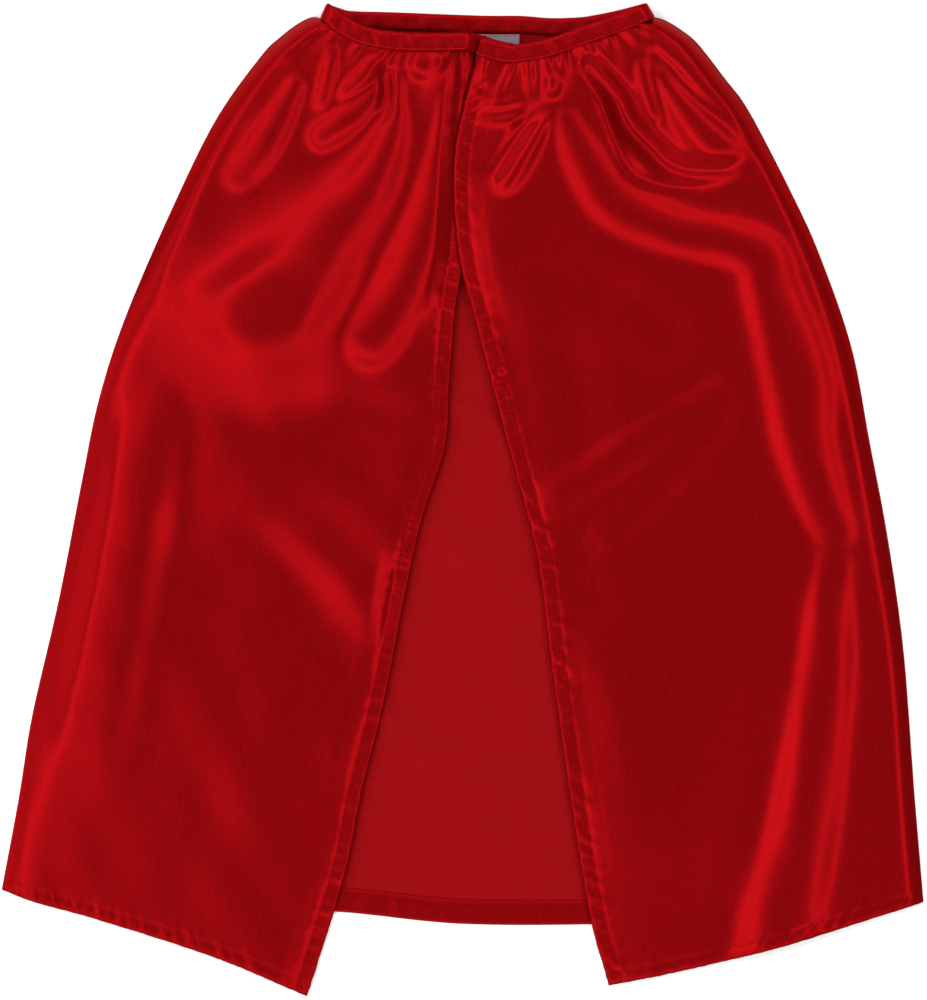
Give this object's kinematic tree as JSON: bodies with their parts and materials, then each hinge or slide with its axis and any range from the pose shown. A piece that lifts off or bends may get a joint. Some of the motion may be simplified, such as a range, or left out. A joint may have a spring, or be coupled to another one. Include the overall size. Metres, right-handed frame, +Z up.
{
  "type": "superhero cape",
  "caption": "Child's superhero cape: gathered satin on a narrow neckband that fastens at the throat, laid flat with both fronts folded over the back and free to open",
  "frame": {"origin": "on the ground, at the middle of the box round the cape as it lies flat", "axes": "+X is the wearer's left, +Y points from the hem to the neckband, +Z is up, from the back layer to the fronts"},
  "size_m": [0.598, 0.646, 0.0263],
  "materials": {
    "satin": "satin",
    "thread": "matte",
    "fastening_tape": "matte",
    "label": "matte"
  },
  "bodies": {
    "back": {"back_panel": "satin", "right_side_fold": "satin", "left_side_fold": "satin", "right_side_panel": "satin", "left_side_panel": "satin", "back_hem": "satin", "back_hem_stitching": "thread", "neckband_back": "satin", "neckband_back_stitching": "thread", "care_label": "label", "care_label_stitching": "thread"},
    "right_front": {"right_front_panel": "satin", "right_edge_hem": "satin", "right_edge_stitching": "thread", "right_bottom_hem": "satin", "right_bottom_stitching": "thread", "neckband_right": "satin", "neckband_right_stitching": "thread", "neckband_underlap": "satin", "hook_tape": "fastening_tape", "hook_tape_stitching": "thread"},
    "left_front": {"left_front_panel": "satin", "left_edge_hem": "satin", "left_edge_stitching": "thread", "left_bottom_hem": "satin", "left_bottom_stitching": "thread", "neckband_left": "satin", "neckband_left_stitching": "thread", "loop_tape": "fastening_tape", "loop_tape_stitching": "thread"}
  },
  "joints": [
    {"name": "right_front_turn", "type": "hinge", "parent": "back", "child": "right_front", "pos_m": [-0.088, 0.306, 0.02768], "axis": [-0.3157, -0.9487, -0.0176], "range_deg": [0, 178], "deforming": ["neckband_underlap", "hook_tape", "hook_tape_stitching"]},
    {"name": "left_front_turn", "type": "hinge", "parent": "back", "child": "left_front", "pos_m": [0.117, 0.306, 0.02768], "axis": [-0.2685, 0.9631, 0.0179], "range_deg": [0, 178]}
  ]
}
